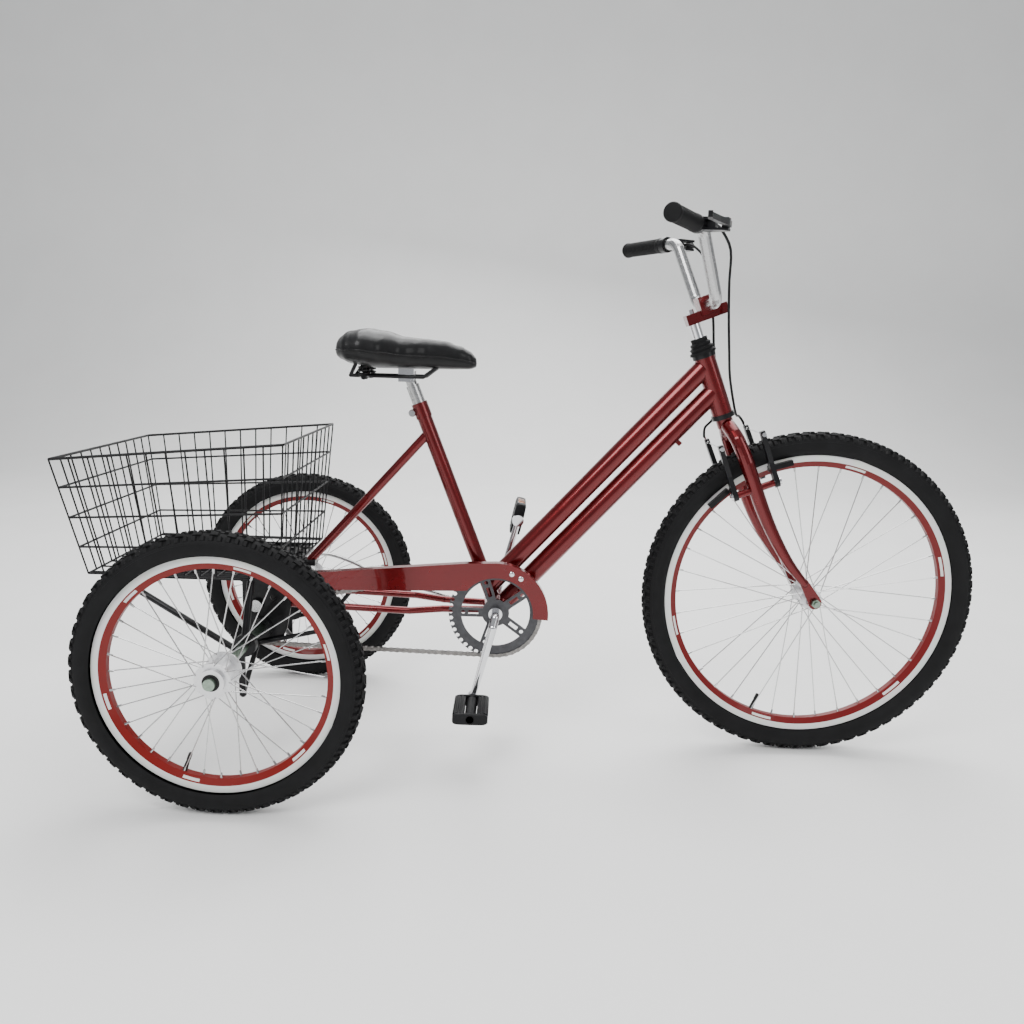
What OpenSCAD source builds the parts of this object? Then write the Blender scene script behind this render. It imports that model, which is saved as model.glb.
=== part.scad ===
/* [Wheels] */
// Outer radius of the front tyre
front_tyre_r = 330.5; // [320:0.5:345]
// Outer radius of the rear tyres
rear_tyre_r = 250; // [240:0.5:262]
// Width of every tyre
tyre_w = 50; // [40:1:56]
// Thickness of the tyre casing
tyre_wall = 4; // [3:0.5:5]
// Width of every rim
rim_w = 24; // [20:1:28]
// Radial depth of every rim
rim_depth = 23; // [18:1:28]
// Tyre radius beyond the rim's edge, front wheel
front_tyre_h = 45; // [40:0.5:50]
// Tyre radius beyond the rim's edge, rear wheels
rear_tyre_h = 41; // [38:0.5:46]
// Spokes in each wheel
spoke_count = 36; // [28:4:36]
// Spoke diameter
spoke_d = 2; // [1.8:0.1:2.3]
// Distance between the front and rear axles
wheelbase = 1083; // [1040:1:1150]
// Distance between the two rear wheels' centres
track = 622; // [600:1:680]

/* [Frame] */
// Outer diameter of the two main tubes
main_tube_d = 38.1; // [34:0.1:42]
// Clear gap between the two main tubes
main_tube_gap = 8.5; // [6:0.5:12]
// Main tubes' angle above the horizontal
main_tube_angle = 48; // [46:0.5:50]
// Outer diameter of the seat tube
seat_tube_d = 28.6; // [27:0.1:31.8]
// Seat tube's lean back from the vertical
seat_tube_lean = 21.5; // [19:0.5:22]
// Length of the seat tube above the crank axis
seat_tube_len = 437; // [400:1:500]
// Outer diameter of the seat stay
seat_stay_d = 18; // [16:0.5:22]
// Outer diameter of the chain stays
chain_stay_d = 14; // [12:0.5:16]
// Wall of every frame tube
tube_wall = 1.5; // [1.2:0.1:2]
// Crank axis, behind the front axle
bb_back = 624; // [610:1:640]
// Crank axis height
bb_z = 287; // [280:1:295]
// Head tube's lean back from the vertical
head_lean = 21.5; // [20:0.5:23]
// Head tube's lower end, behind the front axle
head_back = 196; // [190:1:202]
// Height of the head tube's lower end
head_z = 690; // [680:1:700]
// Length of the head tube
head_len = 114; // [105:1:125]
// Outer diameter of the head tube
head_tube_d = 39.4; // [36:0.1:42]

/* [Steering] */
// Largest diameter of the fork blades
blade_d = 28; // [25:0.5:30]
// Distance between the fork ends' inner faces
fork_old = 100; // [98:1:104]
// Handlebar tube diameter
bar_d = 22.2; // [22:0.1:23]
// Half the width of the handlebar
bar_half = 265; // [240:1:300]
// Height of the grips above the floor
grip_z = 1018; // [990:1:1040]
// Grip diameter
grip_d = 31; // [29:0.5:34]
// Grip length
grip_len = 122; // [105:1:126]

/* [Saddle] */
// Seat post diameter
post_d = 25.4; // [25:0.1:27.2]
// Seat post length below its head
post_len = 210; // [180:1:260]
// Height of the seat post's head above the seat tube
post_rise = 52; // [40:1:90]
// Saddle width at the rear
saddle_w = 200; // [180:1:230]
// Saddle length
saddle_len = 272; // [255:1:290]

/* [Drive] */
// Teeth on the chainring
ring_teeth = 44; // [42:1:46]
// Teeth on the rear sprocket
sprocket_teeth = 20; // [18:1:24]
// Distance of the chain from the centre plane
chain_y = 44; // [43:1:48]
// Crank arm length from axis to axis
crank_len = 165; // [152:1:175]
// Crank's angle at rest, back from straight down
crank_angle = 14; // [0:1:30]
// Rear axle diameter
rear_axle_d = 17; // [15:1:20]

/* [Basket] */
// Basket floor length
floor_len = 352; // [320:1:380]
// Basket floor width
floor_w = 330; // [300:1:350]
// Height of the basket floor
floor_z = 378; // [370:1:390]
// Basket rim length
rim_len = 409; // [390:1:440]
// Basket rim width
rim_width = 400; // [380:1:420]
// Height of the basket rim at the back
rim_back_z = 591; // [560:1:620]
// Height of the basket rim at the front
rim_front_z = 628; // [600:1:650]
// Diameter of the basket's hoops
hoop_d = 4; // [3.5:0.1:5]
// Diameter of the basket's upright wires
wire_d = 3; // [2.5:0.1:3.5]

/* [Fits] */
// Radial clearance of every running shaft
run_clear = 0.05; // [0.02:0.01:0.09]
// Gap between neighbouring moving bodies
body_gap = 0.5; // [0.3:0.05:0.8]

/* [Hidden] */
$fn = 48;

// colours
RED = [0.48, 0.02, 0.05];
BLACK = [0.05, 0.05, 0.06];
SILVER = [0.78, 0.78, 0.8];
STEEL = [0.45, 0.44, 0.42];
GRAPHITE = [0.2, 0.2, 0.22];

// frame of reference: the crank side is -Y, the front wheel is +X, the floor is Z = 0,
// and every length below is measured from the rear axle's centre on the floor
basket_back = -322;
front_reach = wheelbase + front_tyre_r;
rim_wire_d = hoop_d + 1;
origin_shift = -(front_reach + basket_back - rim_wire_d / 2) / 2;
rear_z = rear_tyre_r;
front_z = front_tyre_r;
front_rim_r = front_tyre_r - front_tyre_h;
rear_rim_r = rear_tyre_r - rear_tyre_h;
half_track = track / 2;
bb_x = wheelbase - bb_back;
head_x = wheelbase - head_back;
eps = 0.01;

// main tubes: both run at one angle, the lower one passes just ahead of the crank axis
tube_dir = [cos(main_tube_angle), 0, sin(main_tube_angle)];
tube_normal = [-sin(main_tube_angle), 0, cos(main_tube_angle)];
lower_offset = 6;
tube_step = main_tube_d + main_tube_gap;
bb = [bb_x, 0, bb_z];
lower_start = bb - tube_normal * lower_offset;
upper_start = lower_start + tube_normal * tube_step;
seat_dir = [-sin(seat_tube_lean), 0, cos(seat_tube_lean)];
seat_top = bb + seat_dir * seat_tube_len;
head_dir = [-sin(head_lean), 0, cos(head_lean)];
head_low = [head_x, 0, head_z];
bb_shell_d = 52;
bb_shell_w = 68;
tube_reach = 620;

// carrier
plate_y = 62;
plate_t = 4;
outer_bearing_y = 165;
rail_w = 15;
rail_y = 120;
floor_wire_d = hoop_d - 0.6;
rail_top = floor_z - floor_wire_d / 2;
rail_z = rail_top - rail_w / 2;
floor_back = basket_back + 38;
floor_front = floor_back + floor_len;
platform_back = floor_back + 18;
platform_front = floor_front - 10;

// drive
chain_pitch = 12.7;
function pitch_r(teeth) = chain_pitch / (2 * sin(180 / teeth));
ring_r = pitch_r(ring_teeth);
sprocket_r = pitch_r(sprocket_teeth);
tooth_h = 3.6;
plate_h = 8.4;
ring_t = 3;
axle_pt = [0, rear_z];
ring_pt = [bb_x, bb_z];
centre_dist = norm(ring_pt - axle_pt);
centre_angle = atan2(bb_z - rear_z, bb_x);
wrap_angle = asin((ring_r - sprocket_r) / centre_dist);
crank_y = 92;
front_axle_d = 9.5;
crank_t = 14;
pedal_y = crank_y + crank_t / 2 + body_gap;
pedal_w = 92;
guard_y = 55;
guard_t = 1.6;
guard_flange = 17;
guard_out_r = ring_r + 15;
guard_in_r = ring_r - 15;

// steering frame: x is forward from the steering axis, z is up along it
axle_x = (wheelbase - head_x) * cos(head_lean) + (front_z - head_z) * sin(head_lean);
axle_z = (front_z - head_z) * cos(head_lean) - (wheelbase - head_x) * sin(head_lean);
boss_z = -152;
boss_x = 8;
boss_reach = 36;
boss_r = 7;
pivot_r = 4;
arm_t = 9;
arm_len = 104;
arm_y = fork_old / 2;
arm_top_y = arm_y + 8;
pad_gap = 2;
pad_t = 12;
bar_clamp = [34, 0, 206];
function from_steering(a, y, b) = [head_x + a * cos(head_lean) - b * sin(head_lean), y,
    head_z + a * sin(head_lean) + b * cos(head_lean)];

// handlebar, right half, in the object's frame
bar_low = from_steering(bar_clamp.x, 0, bar_clamp.z);
bar_elbow = bar_low + [0, -78, 0];
bar_bend = [bar_low.x - 43, -118, grip_z];
bar_end = [bar_bend.x - 79, -bar_half, grip_z];
grip_dir = (bar_end - bar_bend) / norm(bar_end - bar_bend);
grip_turn = atan2(grip_dir.y, grip_dir.x);
perch_at = norm(bar_end - bar_bend) - grip_len - 8;

// ---------- helpers ----------
module placed() { translate([origin_shift, 0, 0]) children(); }
module along(p, q) {
    v = q - p;
    translate(p) rotate([0, acos(v.z / norm(v)), atan2(v.y, v.x)]) children();
}
module rod(p, q, d, sides = 24) { along(p, q) cylinder(d = d, h = norm(q - p), $fn = sides); }
module taper(p, q, d1, d2) { along(p, q) cylinder(d1 = d1, d2 = d2, h = norm(q - p), $fn = 32); }
module pipe(p, q, d, wall) {
    along(p, q) difference() {
        cylinder(d = d, h = norm(q - p));
        translate([0, 0, -1]) cylinder(d = d - 2 * wall, h = norm(q - p) + 2);
    }
}
module ball(p, d) { translate(p) sphere(d = d, $fn = 32); }
module steered() { placed() translate(head_low) rotate([0, -head_lean, 0]) children(); }
module both_sides() { children(); mirror([0, 1, 0]) children(); }
module across(w) { rotate([90, 0, 0]) translate([0, 0, -w / 2]) linear_extrude(w) children(); }

// a Catmull-Rom curve through hand-chosen points
function knot(p, i) = p[max(0, min(len(p) - 1, i))];
function curve_at(a, b, c, d, t) = 0.5 * ((2 * b) + (c - a) * t + (2 * a - 5 * b + 4 * c - d) * t * t
    + (3 * b - a - 3 * c + d) * t * t * t);
function curve(p, steps) = concat([for (i = [0:len(p) - 2]) for (s = [0:steps - 1])
    curve_at(knot(p, i - 1), p[i], p[i + 1], knot(p, i + 2), s / steps)], [p[len(p) - 1]]);
function tangent(p, i) = let (v = knot(p, i + 1) - knot(p, i - 1)) v / norm(v);
module swept(path, d, sides, up) {
    rings = [for (i = [0:len(path) - 1]) let (t = tangent(path, i), c = cross(t, up),
        n = c / norm(c), b = cross(n, t)) for (k = [0:sides - 1])
        path[i] + (n * cos(360 * k / sides) + b * sin(360 * k / sides)) * d / 2];
    walls = [for (i = [0:len(path) - 2]) for (k = [0:sides - 1])
        [i * sides + k, i * sides + (k + 1) % sides,
        (i + 1) * sides + (k + 1) % sides, (i + 1) * sides + k]];
    first = [[for (k = [sides - 1:-1:0]) k]];
    last = [[for (k = [0:sides - 1]) (len(path) - 1) * sides + k]];
    polyhedron(rings, concat(first, walls, last), convexity = 6);
}

// ---------- wheels ----------
module tyre_ring(r) {
    rim_r = r - (r == front_tyre_r ? front_tyre_h : rear_tyre_h);
    bead_in = rim_w / 2 - 2.2;
    bead_w = 3.2;
    below = r - rim_r - tyre_w / 2;
    casing_r = (tyre_w - tyre_wall) / 2;
    skirt = max(tyre_w * 0.36, sqrt(max(0, casing_r * casing_r - below * below)));
    rotate([90, 0, 0]) rotate_extrude($fn = 96) {
        difference() {
            translate([r - tyre_w / 2, 0]) circle(d = tyre_w, $fn = 40);
            translate([r - tyre_w / 2, 0]) circle(d = tyre_w - 2 * tyre_wall, $fn = 40);
            translate([rim_r - 60, -tyre_w]) square([60, 2 * tyre_w]);
            translate([rim_r - 1, -bead_in + bead_w]) square([tyre_w / 2, 2 * (bead_in - bead_w)]);
        }
        for (s = [-1, 1]) translate([rim_r - 6, s > 0 ? bead_in - bead_w : -bead_in])
            square([14, bead_w]);
        for (s = [-1, 1]) translate([rim_r, s > 0 ? bead_in - bead_w : -skirt])
            square([4, skirt - bead_in + bead_w]);
    }
}
module rim_ring(rim_r) {
    wall = 2;
    rotate([90, 0, 0]) rotate_extrude($fn = 96) difference() {
        polygon([[rim_r, -rim_w / 2], [rim_r, rim_w / 2], [rim_r - rim_depth / 2, rim_w / 2],
            [rim_r - rim_depth, rim_w / 4], [rim_r - rim_depth, -rim_w / 4],
            [rim_r - rim_depth / 2, -rim_w / 2]]);
        polygon([[rim_r + 1, -rim_w / 2 + wall], [rim_r + 1, rim_w / 2 - wall],
            [rim_r - rim_depth / 2, rim_w / 2 - wall], [rim_r - rim_depth + wall, rim_w / 4 - 1],
            [rim_r - rim_depth + wall, -rim_w / 4 + 1], [rim_r - rim_depth / 2, -rim_w / 2 + wall]]);
    }
}
module hub_shell(shell_r, flange_r, flange_y, half_len, bore_r) {
    flange_t = 3;
    rotate([90, 0, 0]) difference() {
        union() {
            cylinder(r = shell_r, h = 2 * half_len, center = true);
            for (s = [-1, 1]) translate([0, 0, s * flange_y])
                cylinder(r = flange_r, h = flange_t, center = true);
        }
        cylinder(r = bore_r, h = 2 * half_len + 2, center = true);
    }
}
// crossed lacing: every second spoke of a flange leads, the others trail, on opposite flange faces
module spokes(rim_in_r, flange_r, flange_y, crosses) {
    lace = crosses * 720 / spoke_count - 180 / spoke_count * 2;
    for (k = [0:spoke_count - 1]) {
        side = k % 2 == 0 ? 1 : -1;
        lead = floor(k / 2) % 2 == 0 ? 1 : -1;
        rim_a = k * 360 / spoke_count;
        hub_a = rim_a + lead * lace;
        hub_y = side * (flange_y + lead * (1.5 + spoke_d / 2 + 0.05));
        hub_r = flange_r - 3;
        rod([hub_r * cos(hub_a), hub_y, hub_r * sin(hub_a)],
            [rim_in_r * cos(rim_a), side * 2.2, rim_in_r * sin(rim_a)], spoke_d, 8);
    }
}
front_hub_flange = 21;
front_flange_y = 30;
rear_hub_flange = 31;
rear_flange_y = 27;
rear_hub_half = 35;
module at_front_wheel() { placed() translate([wheelbase, 0, front_z]) children(); }
module at_rear_wheel(side) { placed() translate([0, side * half_track, rear_z]) children(); }

module front_tyre() { color(BLACK) at_front_wheel() tyre_ring(front_tyre_r); }
module front_rim() { color(RED) at_front_wheel() rim_ring(front_rim_r); }
module front_hub() {
    color(SILVER) at_front_wheel() hub_shell(14, front_hub_flange, front_flange_y,
        fork_old / 2 - 6 - body_gap, front_axle_d / 2 + run_clear);
}
module front_spokes() {
    color(SILVER) at_front_wheel() spokes(front_rim_r - rim_depth, front_hub_flange, front_flange_y, 3);
}
module rear_tyre(side) { color(BLACK) at_rear_wheel(side) tyre_ring(rear_tyre_r); }
module rear_rim(side) { color(RED) at_rear_wheel(side) rim_ring(rear_rim_r); }
module rear_hub(side, bore_r) {
    color(SILVER) at_rear_wheel(side)
        hub_shell(22, rear_hub_flange, rear_flange_y, rear_hub_half, bore_r);
}
module rear_spokes(side) {
    color(SILVER) at_rear_wheel(side)
        spokes(rear_rim_r - rim_depth, rear_hub_flange, rear_flange_y, 2);
}
module right_tyre() { rear_tyre(-1); }
module right_rim() { rear_rim(-1); }
module right_hub() { rear_hub(-1, rear_axle_d / 2); }
module right_spokes() { rear_spokes(-1); }
module left_tyre() { rear_tyre(1); }
module left_rim() { rear_rim(1); }
module left_hub() { rear_hub(1, rear_axle_d / 2 + run_clear); }
module left_spokes() { rear_spokes(1); }

axle_nut_r = 10;
module rear_axle() {
    half = half_track + rear_hub_half + body_gap;
    color(STEEL) placed() translate([0, 0, rear_z]) rotate([90, 0, 0]) {
        cylinder(d = rear_axle_d, h = 2 * half, center = true);
        for (s = [-1, 1]) translate([0, 0, s * (half + 5)])
            cylinder(r = axle_nut_r, h = 10, center = true);
        for (s = [-1, 1]) translate([0, 0, s * (half_track - rear_hub_half - body_gap - 4)])
            cylinder(r = rear_axle_d / 2 + 4, h = 8, center = true);
    }
}
module toothed(teeth, hole_r) {
    r = pitch_r(teeth);
    seat_r = 4.2;
    difference() {
        circle(r = r + tooth_h, $fn = 96);
        for (k = [0:teeth - 1]) rotate(k * 360 / teeth) translate([r, 0]) circle(r = seat_r, $fn = 24);
        circle(r = hole_r);
    }
}
module sprocket() {
    color(STEEL) placed() translate([0, -chain_y, rear_z]) across(ring_t)
        toothed(sprocket_teeth, rear_axle_d / 2);
}

// ---------- frame tubes ----------
module head_tube() { color(RED) placed() pipe(head_low, head_low + head_dir * head_len, head_tube_d, 2.5); }
module main_tube(start) {
    placed() difference() {
        pipe(start, start + tube_dir * tube_reach, main_tube_d, tube_wall);
        along(head_low - head_dir * 100, head_low + head_dir * 300)
            cylinder(d = head_tube_d, h = 400);
        translate(head_low) rotate([0, -head_lean, 0]) translate([0, -60, -200]) cube([300, 120, 600]);
        translate(bb) rotate([90, 0, 0]) cylinder(d = bb_shell_d, h = bb_shell_w + 2, center = true);
    }
}
module upper_main_tube() {
    color(RED) difference() {
        main_tube(upper_start);
        placed() {
            along(bb - seat_dir * 60, bb + seat_dir * 300) cylinder(d = seat_tube_d, h = 360);
            translate(bb) rotate([0, -seat_tube_lean, 0]) translate([-200, -60, -200]) cube([200, 120, 600]);
        }
    }
}
module lower_main_tube() {
    color(RED) {
        difference() {
            main_tube(lower_start);
            placed() along(bb, seat_top) cylinder(d = seat_tube_d, h = seat_tube_len);
        }
        // cable stop under the tube
        placed() translate(lower_start + tube_dir * 488 - tube_normal * (main_tube_d / 2 + 4))
            rotate([0, -main_tube_angle, 0]) cube([9, 8, 8.4], center = true);
    }
}
clamp_r = 7;
clamp_bolt_r = 3;
clamp_lug = seat_top - seat_dir * 2 * clamp_r
    - [cos(seat_tube_lean), 0, sin(seat_tube_lean)] * (seat_tube_d / 2 + 4);
module seat_tube() {
    color(RED) placed() difference() {
        union() {
            along(bb, seat_top) cylinder(d = seat_tube_d, h = seat_tube_len);
            along(seat_top - seat_dir * 30, seat_top) cylinder(d = seat_tube_d + 3, h = 30);
            translate(clamp_lug) rotate([90, 0, 0]) cylinder(r = clamp_r, h = 22, center = true);
        }
        along(bb, seat_top + seat_dir) cylinder(r = post_d / 2 + run_clear, h = seat_tube_len + 2);
        translate(bb) rotate([90, 0, 0]) cylinder(d = bb_shell_d, h = bb_shell_w + 2, center = true);
        translate(clamp_lug) rotate([90, 0, 0]) cylinder(r = clamp_bolt_r, h = 40, center = true);
    }
}
module seat_clamp_bolt() {
    color(SILVER) placed() translate(clamp_lug) rotate([90, 0, 0]) {
        cylinder(r = clamp_bolt_r, h = 30, center = true);
        for (s = [-1, 1]) translate([0, 0, s * 13.5]) cylinder(r = 6, h = 5, center = true);
    }
}
stay_low = [floor_front + 14, 0, rail_z + 3];
stay_high = bb + seat_dir * 378;
module seat_stay() {
    color(RED) placed() difference() {
        pipe(stay_low, stay_high, seat_stay_d, tube_wall);
        along(bb, seat_top) cylinder(d = seat_tube_d, h = seat_tube_len);
        translate(bb) rotate([0, -seat_tube_lean, 0]) translate([0, -60, 0]) cube([200, 120, 600]);
    }
}
stay_y = plate_y - chain_stay_d / 2;
stay_back = [28, stay_y, bb_z + 11];
stay_bend = [bb_x - 169, stay_y - 2, bb_z + 2];
stay_neck = [bb_x - ring_r - 18, 31, bb_z + 1];
stay_front = [bb_x - 18, 24, bb_z];
module chain_stays() {
    color(RED) placed() difference() {
        both_sides() {
            rod(stay_back, stay_bend, chain_stay_d);
            ball(stay_bend, chain_stay_d + 0.2);
            rod(stay_bend, stay_neck, chain_stay_d);
            ball(stay_neck, chain_stay_d + 0.2);
            rod(stay_neck, stay_front, chain_stay_d);
        }
        translate(bb) rotate([90, 0, 0]) cylinder(d = bb_shell_d, h = 200, center = true);
    }
}
module bottom_bracket_shell() {
    color(RED) placed() translate(bb) rotate([90, 0, 0]) difference() {
        cylinder(d = bb_shell_d, h = bb_shell_w, center = true);
        cylinder(d = bb_shell_d - 6, h = bb_shell_w + 2, center = true);
    }
    color(STEEL) placed() translate(bb) rotate([90, 0, 0]) for (s = [-1, 1])
        translate([0, 0, s * (bb_shell_w / 2 - 4)]) difference() {
            cylinder(d = bb_shell_d - 6, h = 8, center = true);
            cylinder(r = 9 + run_clear, h = 10, center = true);
        }
}
module headset_cups() {
    color(BLACK) placed() {
        along(head_low - head_dir * 9, head_low) difference() {
            cylinder(r = 22, h = 9);
            translate([0, 0, -1]) cylinder(r = 13.2, h = 11);
        }
        along(head_low + head_dir * head_len, head_low + head_dir * (head_len + 8)) difference() {
            cylinder(r = 22, h = 8);
            translate([0, 0, -1]) cylinder(r = 13.2, h = 10);
        }
    }
}
module headset_boot() {
    base = head_len + 8;
    color(BLACK) placed() along(head_low + head_dir * base, head_low + head_dir * (base + 30))
        rotate_extrude() polygon([[13.2, 0], [25, 0], [25, 4], [21, 7], [23, 12], [18.5, 15],
            [20, 20], [15.5, 23], [16, 30], [13.2, 30]]);
}

// ---------- chain and guard ----------
// a loop at a given offset from the pitch line, around the ring and the sprocket
function arc_points(c, r, a0, a1, n) = [for (i = [0:n]) let (a = a0 + (a1 - a0) * i / n)
    c + r * [cos(a), sin(a)]];
function chain_loop(off) = concat(
    arc_points(axle_pt, sprocket_r + off, 90 + centre_angle + wrap_angle,
        270 + centre_angle - wrap_angle, 24),
    arc_points(ring_pt, ring_r + off, centre_angle - wrap_angle - 90,
        90 + centre_angle + wrap_angle, 40));
module chain() {
    side_t = 1.6;
    inner = ring_t / 2 + body_gap;
    links = 24;
    low_from = axle_pt + sprocket_r * [sin(centre_angle - wrap_angle), -cos(centre_angle - wrap_angle)];
    low_to = ring_pt + ring_r * [sin(centre_angle - wrap_angle), -cos(centre_angle - wrap_angle)];
    top_from = axle_pt + sprocket_r * [-sin(centre_angle + wrap_angle), cos(centre_angle + wrap_angle)];
    top_to = ring_pt + ring_r * [-sin(centre_angle + wrap_angle), cos(centre_angle + wrap_angle)];
    color(STEEL) placed() translate([0, -chain_y, 0]) {
        for (s = [-1, 1]) translate([0, s * (inner + side_t / 2), 0]) across(side_t) difference() {
            polygon(chain_loop(plate_h / 2));
            polygon(chain_loop(-plate_h / 2));
        }
        for (k = [3:links - 3]) let (t = k / links) {
            for (p = [low_from + (low_to - low_from) * t, top_from + (top_to - top_from) * t])
                translate([p.x, 0, p.y]) rotate([90, 0, 0])
                    cylinder(d = 7.6, h = 2 * inner + 0.4, center = true, $fn = 24);
        }
    }
}
guard_back = [12, bb_z + 66];
guard_knee = [bb_x - 60, bb_z + guard_out_r - 2];
guard_tip_a = -5;
function guard_edge(inset) = concat([guard_back + [0, -inset], guard_knee + [0, -inset]],
    arc_points(ring_pt, guard_out_r - inset, 92, guard_tip_a, 30));
guard_tail = [ring_pt + [-80, 46], [150, bb_z + 41], [12, bb_z + 36]];
module guard_face() {
    polygon(concat(guard_edge(0), [ring_pt + guard_in_r * [cos(guard_tip_a), sin(guard_tip_a)]],
        arc_points(ring_pt, guard_in_r, guard_tip_a, 140, 30), guard_tail));
}
module chain_guard() {
    color(RED) placed() {
        translate([0, -guard_y - guard_t / 2, 0]) across(guard_t) guard_face();
        translate([0, -guard_y + (guard_flange - guard_t) / 2 - eps, 0]) across(guard_flange - guard_t)
            polygon(concat(guard_edge(0), [for (i = [32:-1:0]) guard_edge(guard_t)[i]]));
    }
}

// ---------- rear carrier ----------
module box_rail(p, q, w) {
    v = q - p;
    translate(p) rotate([0, 0, atan2(v.y, v.x)]) translate([0, -w / 2, -w / 2]) cube([norm(v), w, w]);
}
bearing_r = 21;
bearing_w = 16;
module strut_pair() {
    // rear struts, hangers and their feet on each side of the axle
    low = [-12, outer_bearing_y, rear_z - 14];
    apex = [-8, outer_bearing_y, rear_z - 100];
    rod(low, [platform_back + 6, rail_y, rail_z - 6], 12);
    translate([-14, outer_bearing_y - 3, apex.z]) cube([12, 6, 84]);
    rod([-8, outer_bearing_y, apex.z + 3], [-8, plate_y + plate_t + 4, rear_z - 32], 10);
    ball([-8, outer_bearing_y, apex.z + 3], 13);
    rod([0, outer_bearing_y, rear_z + 18], [0, rail_y, rail_z], 14);
    box_rail([platform_back, rail_y, rail_z], [platform_front, rail_y, rail_z], rail_w);
    // lower brace forward to the chain stay
    brace_y = plate_y + plate_t + 5;
    rod([-2, brace_y, rear_z - 30], [118, brace_y, rear_z - 2], 9);
    ball([118, brace_y, rear_z - 2], 9.2);
    rod([118, brace_y, rear_z - 2], [150, stay_y + 6, bb_z + 2], 9);
}
module carrier_frame() {
    color(BLACK) placed() difference() {
        union() {
            both_sides() strut_pair();
            for (x = [platform_back + rail_w / 2, -30, platform_front - rail_w / 2])
                box_rail([x, -rail_y, rail_z], [x, rail_y, rail_z], rail_w);
            translate([platform_front - 2, -12, rail_z - 6]) cube([stay_low.x + 14 - platform_front, 24, 12]);
        }
        both_sides() rod(stay_back, stay_bend, chain_stay_d);
        along(stay_low, stay_high) cylinder(d = seat_stay_d, h = 60);
        for (y = [-outer_bearing_y, outer_bearing_y]) translate([0, y, rear_z]) rotate([90, 0, 0])
            cylinder(r = bearing_r, h = bearing_w + 8, center = true);
        for (s = [-1, 1]) translate([0, s * (plate_y + plate_t / 2), 0]) across(plate_t) side_outline();
    }
}
module side_outline() {
    polygon([[-36, rail_z - rail_w / 2], [-36, rear_z - 24], [-14, rear_z - 40], [40, rear_z - 24],
        [50, rear_z], [58, bb_z + 5], [58, rail_z - rail_w / 2]]);
}
module carrier_side_plates() {
    color(BLACK) placed() for (s = [-1, 1]) translate([0, s * (plate_y + plate_t / 2), 0])
        difference() {
            across(plate_t) side_outline();
            translate([0, 0, rear_z]) rotate([90, 0, 0]) cylinder(r = bearing_r, h = 20, center = true);
            translate([24, 0, bb_z + 24]) rotate([90, 0, 0]) cylinder(r = 6, h = 20, center = true);
        }
}
module axle_bearings() {
    color(STEEL) placed() for (y = [-outer_bearing_y, -plate_y - plate_t / 2, plate_y + plate_t / 2,
        outer_bearing_y]) translate([0, y, rear_z]) rotate([90, 0, 0]) difference() {
            cylinder(r = bearing_r, h = bearing_w, center = true);
            cylinder(r = rear_axle_d / 2 + run_clear, h = bearing_w + 2, center = true);
        }
}
rod_route = [[66, 72, 364], [100, 88, 362], [150, 92, 345], [200, 86, 322], [bb_x - 199, 76, 306],
    [bb_x - 139, 60, 296], [bb_x - 109, 46, 291], [bb_x - 87, 40.3, 289]];
module brace_rod() { color(SILVER) placed() swept(curve(rod_route, 4), 7, 10, [0, 0, 1]); }
module round_reflector() {
    color(SILVER) placed() translate([-8, -plate_y - plate_t - 5, rear_z + 46]) rotate([90, 0, 0]) {
        translate([0, 0, -5]) cylinder(r = 5, h = 5);
        cylinder(r = 12, h = 6);
    }
}

// ---------- basket ----------
half_floor = floor_w / 2;
half_rim = rim_width / 2;
floor_pts = [[floor_back, -half_floor, floor_z], [floor_front, -half_floor, floor_z],
    [floor_front, half_floor, floor_z], [floor_back, half_floor, floor_z]];
rim_pts = [[basket_back, -half_rim, rim_back_z], [basket_back + rim_len, -half_rim, rim_front_z],
    [basket_back + rim_len, half_rim, rim_front_z], [basket_back, half_rim, rim_back_z]];
hoop_levels = [0, 0.24, 0.5, 0.76, 1];
side_uprights = 12;
end_uprights = 11;
end_inset = 2.6;
function mix(a, b, t) = a + (b - a) * t;
function inset_pair(a, b, d) = let (u = (b - a) / norm(b - a)) [a + u * d, b - u * d];
module wall_grid(i, j, uprights, inset) {
    // upright wires, from the floor's edge to the rim
    for (k = [0:uprights]) let (t = k / uprights)
        if (inset == 0 || (k > 0 && k < uprights))
            rod(mix(floor_pts[i], floor_pts[j], t), mix(rim_pts[i], rim_pts[j], t), wire_d, 8);
    for (h = hoop_levels) {
        p = inset_pair(mix(floor_pts[i], rim_pts[i], h), mix(floor_pts[j], rim_pts[j], h), inset);
        rod(p[0], p[1], h == 1 ? rim_wire_d : hoop_d, 8);
    }
}
module basket_side_walls() {
    color(BLACK) placed() {
        wall_grid(0, 1, side_uprights, 0);
        wall_grid(3, 2, side_uprights, 0);
    }
}
module basket_end_walls() {
    color(BLACK) placed() {
        wall_grid(1, 2, end_uprights, end_inset);
        wall_grid(0, 3, end_uprights, end_inset);
    }
}
module basket_floor() {
    edge = hoop_d / 2;
    color(BLACK) placed() {
        for (k = [1:11]) let (x = mix(floor_back, floor_front, k / 12))
            rod([x, -half_floor + edge, floor_z], [x, half_floor - edge, floor_z], wire_d, 8);
        for (k = [0:8]) let (y = mix(-half_floor + 12, half_floor - 12, k / 8))
            rod([floor_back + edge, y, floor_z], [floor_front - edge, y, floor_z], floor_wire_d, 8);
    }
}
module basket_bracket() {
    pad = floor_z + hoop_d / 2;
    color(BLACK) placed() {
        for (x = [platform_front - 22, -40]) translate([x, 0, pad + 1.5]) cube([30, 110, 3], center = true);
        for (x = [platform_front - 22, -40]) for (y = [-40, 40]) translate([x, y, pad + 3])
            cylinder(r = 6, h = 4, $fn = 6);
    }
}

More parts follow.
